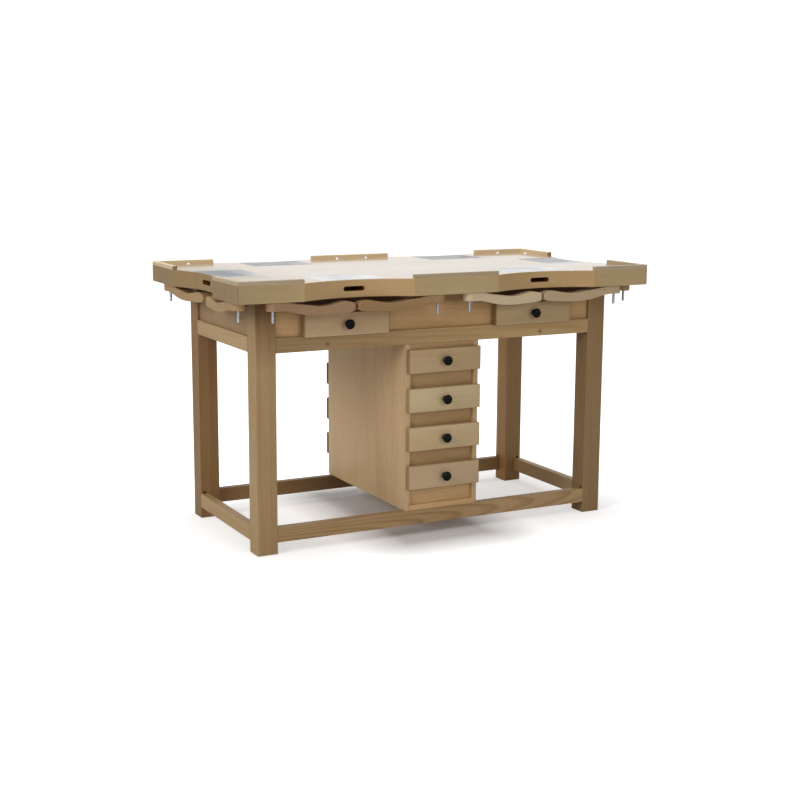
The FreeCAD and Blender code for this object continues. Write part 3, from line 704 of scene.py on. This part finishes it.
drawerShape = {
    "front": 0.020, "frontRound": 0.003, "wall": 0.010, "height": 0.064,
    "lift": {"apron": 0.005, "pedestal": 0.008},   # from the front's lower edge to the box
    "inset": {"apron": 0.011, "pedestal": 0.018},  # from the front's ends to the box
    "bottomLift": 0.006, "bottomThick": 0.005, "bottomEase": 0.0004, "groove": 0.005,
    "fingers": 6, "fingerEase": 0.0003,
}
frontLook = {"rings": 0.13, "fibres": 0.16, "pale": (192, 164, 122), "warm": (175, 143, 100)}
wallLook = {"rings": 0.2, "coat": 0.0, "rough": 0.52}
bottomLook = {"rings": 0.12, "coat": 0.0, "rough": 0.55, "pale": (206, 184, 150)}
frontEndsAndShade = {False: (0.62, 0.54, 0.46, 1.0), True: (0.30, 0.22, 0.17, 1.0)}  # end grain, darker still at the back with painted shade
frontPiths = [(0.06, -0.09 + 0.02 * place) for place in range(5)]
endGrainDepth = 0.003
shadeSwing = (0.05, 2.3)  # how far a front's shade strays, and how fast from one seed to the next
frontTints = {
    "drawer_apron_front_left": (1.0, 1.0, 1.10, 1.0),
    "drawer_apron_front_right": (0.90, 0.93, 0.97, 1.0),
    "drawer_pedestal_front_1": (0.93, 0.93, 0.98, 1.0),
    "drawer_pedestal_front_2": (1.12, 1.25, 1.40, 1.0),
    "drawer_pedestal_front_3": (1.15, 1.23, 1.36, 1.0),
    "drawer_pedestal_front_4": (1.06, 1.08, 1.25, 1.0),
}


def board(grid, low, high, ease, segments=2):  # a board between two corners with eased edges
    made = bmesh.ops.create_cube(grid, size=1.0)["verts"]
    size = [b - a for a, b in zip(low, high)]
    middle = [(a + b) / 2 for a, b in zip(low, high)]
    matrix = Matrix.Translation(middle) @ Matrix.Diagonal((*size, 1.0))
    bmesh.ops.transform(grid, matrix=matrix, verts=made)
    easeEdges(grid, list({edge for vert in made for edge in vert.link_edges}), ease, segments)


def outlineBoard(grid, outline, depth, ease):  # an outline in one plane, thickened along depth
    verts = [grid.verts.new(point) for point in outline]
    face = grid.faces.new(verts)
    moved = vertsOf(bmesh.ops.extrude_face_region(grid, geom=[face])["geom"])
    bmesh.ops.translate(grid, vec=depth, verts=moved)
    bmesh.ops.recalc_face_normals(grid, faces=grid.faces)
    easeEdges(grid, list({edge for vert in verts + moved for edge in vert.link_edges}), ease, 1)


boardEase = 0.0012
touchReach = 1e-5  # corners that lie closer than this are one
pedestalLooks = {  # node: grain, seed, slot and what differs from the plain look
    "pedestal_sides": ("Z", 21.0, "beech_upright", {
        "plyWidth": 0.118, "plyTone": 0.04, "rings": 0.12, "fibres": 0.16, "pith": (0.2, 0.1),
        "pale": (222, 190, 146), "warm": (205, 168, 124), "dark": (168, 130, 90),
        "fades": (("Y", -0.34, -0.20, 0.76, 1.0),)}),
    "pedestal_boards": ("X", 22.0, "beech_inner", {
        "rings": 0.14, "pith": (0.1, 0.14), "tint": (1.0, 0.96, 0.96, 1.0),
        "fades": (("Z", 0.11, 0.22, 1.34, 1.0),)}),
}


def solidBoxes(name):  # two corners of each separate board in a node
    target = nodes[name]
    grid = bmesh.new()
    grid.from_mesh(target.data)
    bmesh.ops.transform(grid, matrix=target.matrix_world, verts=grid.verts)
    bmesh.ops.remove_doubles(grid, verts=grid.verts, dist=touchReach)
    left = set(grid.verts)
    boxes = []
    while left:
        reached = {left.pop()}
        outermost = list(reached)
        while outermost:
            vert = outermost.pop()
            near = {link.other_vert(vert) for link in vert.link_edges}
            outermost += near - reached
            reached |= near
        left -= reached
        places = [vert.co.copy() for vert in reached]
        boxes.append(([min(place[i] for place in places) for i in range(3)],
                      [max(place[i] for place in places) for i in range(3)]))
    grid.free()
    return sorted(boxes)


def makePedestal():
    for name, (grain, seed, slot, changes) in pedestalLooks.items():
        boxes = solidBoxes(name)

        def boards(grid):
            for low, high in boxes:
                board(grid, low, high, boardEase)

        finish = beech("beech_" + name, middleOf(name), grain, seed, **changes)
        meshPiece("eased_" + name, boards, finish, "bench", slot, name)
        print(name, "made again:", len(boxes), "boards")


def makeDrawer(name, seed, wallFinish, bottomFinish):
    shape = drawerShape
    kind = name.split("_")[1]
    low, high = (Vector(corner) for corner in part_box(name))
    back = "back" in name.split("_")
    middle = (low.x + high.x) / 2
    # the inner face of the front, and where the box ends
    inside = high.y - shape["front"] if back else low.y + shape["front"]
    way = -1 if back else 1
    end = inside + way * (high.y - low.y - shape["front"])
    half = (high.x - low.x) / 2 - shape["inset"][kind]
    base = low.z + shape["lift"][kind]
    top = base + shape["height"]
    wall = shape["wall"]
    fingers = range(shape["fingers"])
    step = shape["height"] / shape["fingers"]
    body = name + "_body"

    def front(grid):
        frontLow = (low.x, min(inside, inside - way * shape["front"]), low.z)
        frontHigh = (high.x, max(inside, inside - way * shape["front"]), high.z)
        board(grid, frontLow, frontHigh, shape["frontRound"], 3)

    def sides(grid):
        for x, thick in ((middle - half, wall), (middle + half, -wall)):
            outline = [(x, inside, base), (x, inside, top)]
            for finger in fingers:
                reach = end if finger % 2 == 0 else end - way * wall
                outline += [(x, reach, top - finger * step), (x, reach, top - (finger + 1) * step)]
            outlineBoard(grid, outline, (thick, 0, 0), shape["fingerEase"])

    def backBoard(grid):
        outline = []
        for side, order in ((1, fingers), (-1, reversed(fingers))):  # down one side and up the other
            for finger in order:
                x = middle + side * (half - wall if finger % 2 == 0 else half)
                heights = (finger, finger + 1)[::side]
                outline += [(x, end, top - height * step) for height in heights]
        outlineBoard(grid, outline, (0, -way * wall, 0), shape["fingerEase"])

    def bottom(grid):
        reach = half - wall + shape["groove"]
        ends = sorted((inside, end - way * (wall - shape["groove"])))
        under = base + shape["bottomLift"]
        over = under + shape["bottomThick"]
        board(grid, (middle - reach, ends[0], under), (middle + reach, ends[1], over),
              shape["bottomEase"], 1)

    centre = (middle, inside, (low.z + high.z) / 2)
    swing, pace = shadeSwing
    shade = 1.0 + swing * math.sin(seed * pace)
    finish = beech("beech_" + name, centre, "X", 61.0 + seed, pith=frontPiths[seed % len(frontPiths)],
                   tint=frontTints.get(name, (shade, shade, shade, 1.0)), endShade=frontEndsAndShade[back],
                   endGrain=(high.x - low.x) / 2 - endGrainDepth, **frontLook)
    meshPiece("front_" + name, front, finish, body, "beech_drawer", name)
    meshPiece("sides_" + name, sides, wallFinish, body, "beech_drawer")
    meshPiece("end_" + name, backBoard, finish, body, "beech_drawer")
    meshPiece("bottom_" + name, bottom, bottomFinish, body, "beech_drawer")


def makeDrawers():
    names = sorted(name for name in nodes if name.startswith("drawer_") and name != "drawer_runners")
    wallFinish = beech("beech_drawerSides", (0, 0, 0.5), "Y", 81.0, **wallLook)
    bottomFinish = beech("beech_drawerBottoms", (0, 0, 0.5), "X", 82.0, **bottomLook)
    for seed, name in enumerate(names):
        makeDrawer(name, seed, wallFinish, bottomFinish)
    print("drawers made:", len(names))


makePedestal()
makeDrawers()
makeKnobs()


stageLook = {
    "floor": 0.86, "ambient": 0.26, "size": 60.0, "drop": 0.0005,
    # how much the floor glows by itself, by distance from the bench's foot: less glow near it is painted
    # shadow
    "foot": (0.66, 0.30), "glow": [(0.0, 0.50), (0.15, 0.62), (0.45, 0.86), (0.8, 1.0)],
    # and how much of that is left near the pedestal, by distance from it, as painted shadow
    "pedestal": (0.15, 0.37), "near": [(0.0, 0.02), (0.05, 0.34), (0.20, 1.0)],
}


def makeFloor():
    grid = bmesh.new()
    bmesh.ops.create_grid(grid, x_segments=2, y_segments=2, size=stageLook["size"])
    mesh = bpy.data.meshes.new("floor")
    grid.to_mesh(mesh)
    grid.free()
    floor = bpy.data.objects.new("floor", mesh)
    floor.location.z = -stageLook["drop"]
    bpy.context.scene.collection.objects.link(floor)
    material = bpy.data.materials.new("paleFloor")
    tree = emptyTree(material)
    place = add(tree, "TexCoord").outputs["Object"]
    place = add(tree, "VectorMath", {0: place}, operation="ABSOLUTE").outputs[0]

    def distance(corner):  # how far the floor's point lies outside a box about the middle
        outside = add(tree, "VectorMath", {0: place, 1: (*corner, 0)}, operation="SUBTRACT").outputs[0]
        outside = add(tree, "VectorMath", {0: outside, 1: (0, 0, 0)}, operation="MAXIMUM").outputs[0]
        return lengthOf(tree, outside)

    # painted shadow: the glow drops close to the bench and almost goes by the pedestal
    farOff = ramp(tree, distance(stageLook["foot"]), stageLook["glow"])
    farOff = maths(tree, "MULTIPLY", farOff, ramp(tree, distance(stageLook["pedestal"]), stageLook["near"]))
    seen = add(tree, "LightPath").outputs["Is Camera Ray"]
    strength = maths(tree, "MULTIPLY", farOff, seen)
    glow = add(tree, "Emission", {"Color": (1, 1, 1, 1), "Strength": strength})
    level = stageLook["floor"]
    matt = add(tree, "BsdfDiffuse", {"Color": (level, level, level, 1)})
    both = add(tree, "AddShader", {0: glow.outputs[0], 1: matt.outputs[0]})
    add(tree, "OutputMaterial", {"Surface": both.outputs[0]})
    mesh.materials.append(material)


def makeWorld():
    world = bpy.data.worlds.new("studio")
    bpy.context.scene.world = world
    tree = emptyTree(world)
    rays = add(tree, "LightPath").outputs
    seen = maths(tree, "MAXIMUM", rays["Is Camera Ray"], rays["Is Glossy Ray"])
    seen = maths(tree, "MAXIMUM", seen, rays["Is Transmission Ray"])
    strength = mapped(tree, seen, 0.0, 1.0, stageLook["ambient"], 1.0)
    sky = add(tree, "Background", {"Color": (1, 1, 1, 1), "Strength": strength})
    add(tree, "OutputWorld", {"Surface": sky.outputs[0]})


lamps = {  # place, aim, width, height, power
    "key": ((-4.8, -1.8, 2.7), (-0.2, 0.0, 0.5), 2.6, 2.2, 120.0),
    "fill": ((0.9, -5.4, 2.0), (0.1, 0.0, 0.5), 2.4, 2.0, 52.0),
    "above": ((0.2, 0.6, 4.2), (0.0, 0.0, 0.9), 3.0, 2.4, 62.0),
}


def makeLamps():
    for name, (place, aim, width, height, power) in lamps.items():
        light = bpy.data.lights.new(name, "AREA")
        light.shape = "RECTANGLE"
        light.size = width
        light.size_y = height
        light.energy = power
        lamp = bpy.data.objects.new(name, light)
        lamp.location = place
        lamp.rotation_euler = (Vector(aim) - Vector(place)).to_track_quat("-Z", "Y").to_euler()
        lamp.visible_camera = False
        lamp.visible_glossy = name != "fill"  # the lacquered top would mirror it as a white patch
        bpy.context.scene.collection.objects.link(lamp)


cameraPlace = {"at": (-2.3007, -4.4264, 1.3246), "yaw": 27.755, "pitch": 10.583, "roll": 0.354,
               "lens": 63.39, "sensor": 36.0, "shift": (-0.00275, 0.00196)}


def makeCamera():
    yaw, pitch, roll = (math.radians(cameraPlace[key]) for key in ("yaw", "pitch", "roll"))
    forward = Vector((math.sin(yaw) * math.cos(pitch), math.cos(yaw) * math.cos(pitch),
                      -math.sin(pitch)))
    level = Vector((math.cos(yaw), -math.sin(yaw), 0))
    above = level.cross(forward)
    right = level * math.cos(roll) + above * math.sin(roll)
    up = above * math.cos(roll) - level * math.sin(roll)
    data = bpy.data.cameras.new("camera")
    data.lens = cameraPlace["lens"]
    data.sensor_width = cameraPlace["sensor"]
    data.sensor_fit = "HORIZONTAL"
    data.shift_x, data.shift_y = cameraPlace["shift"]
    camera = bpy.data.objects.new("camera", data)
    turned = Matrix((right, up, -forward)).transposed().to_4x4()
    camera.matrix_world = Matrix.Translation(cameraPlace["at"]) @ turned
    bpy.context.scene.collection.objects.link(camera)
    bpy.context.scene.camera = camera


makeFloor()
makeWorld()
makeLamps()
makeCamera()
bpy.context.scene.view_settings.view_transform = "Standard"
print("stage, lights and camera set")
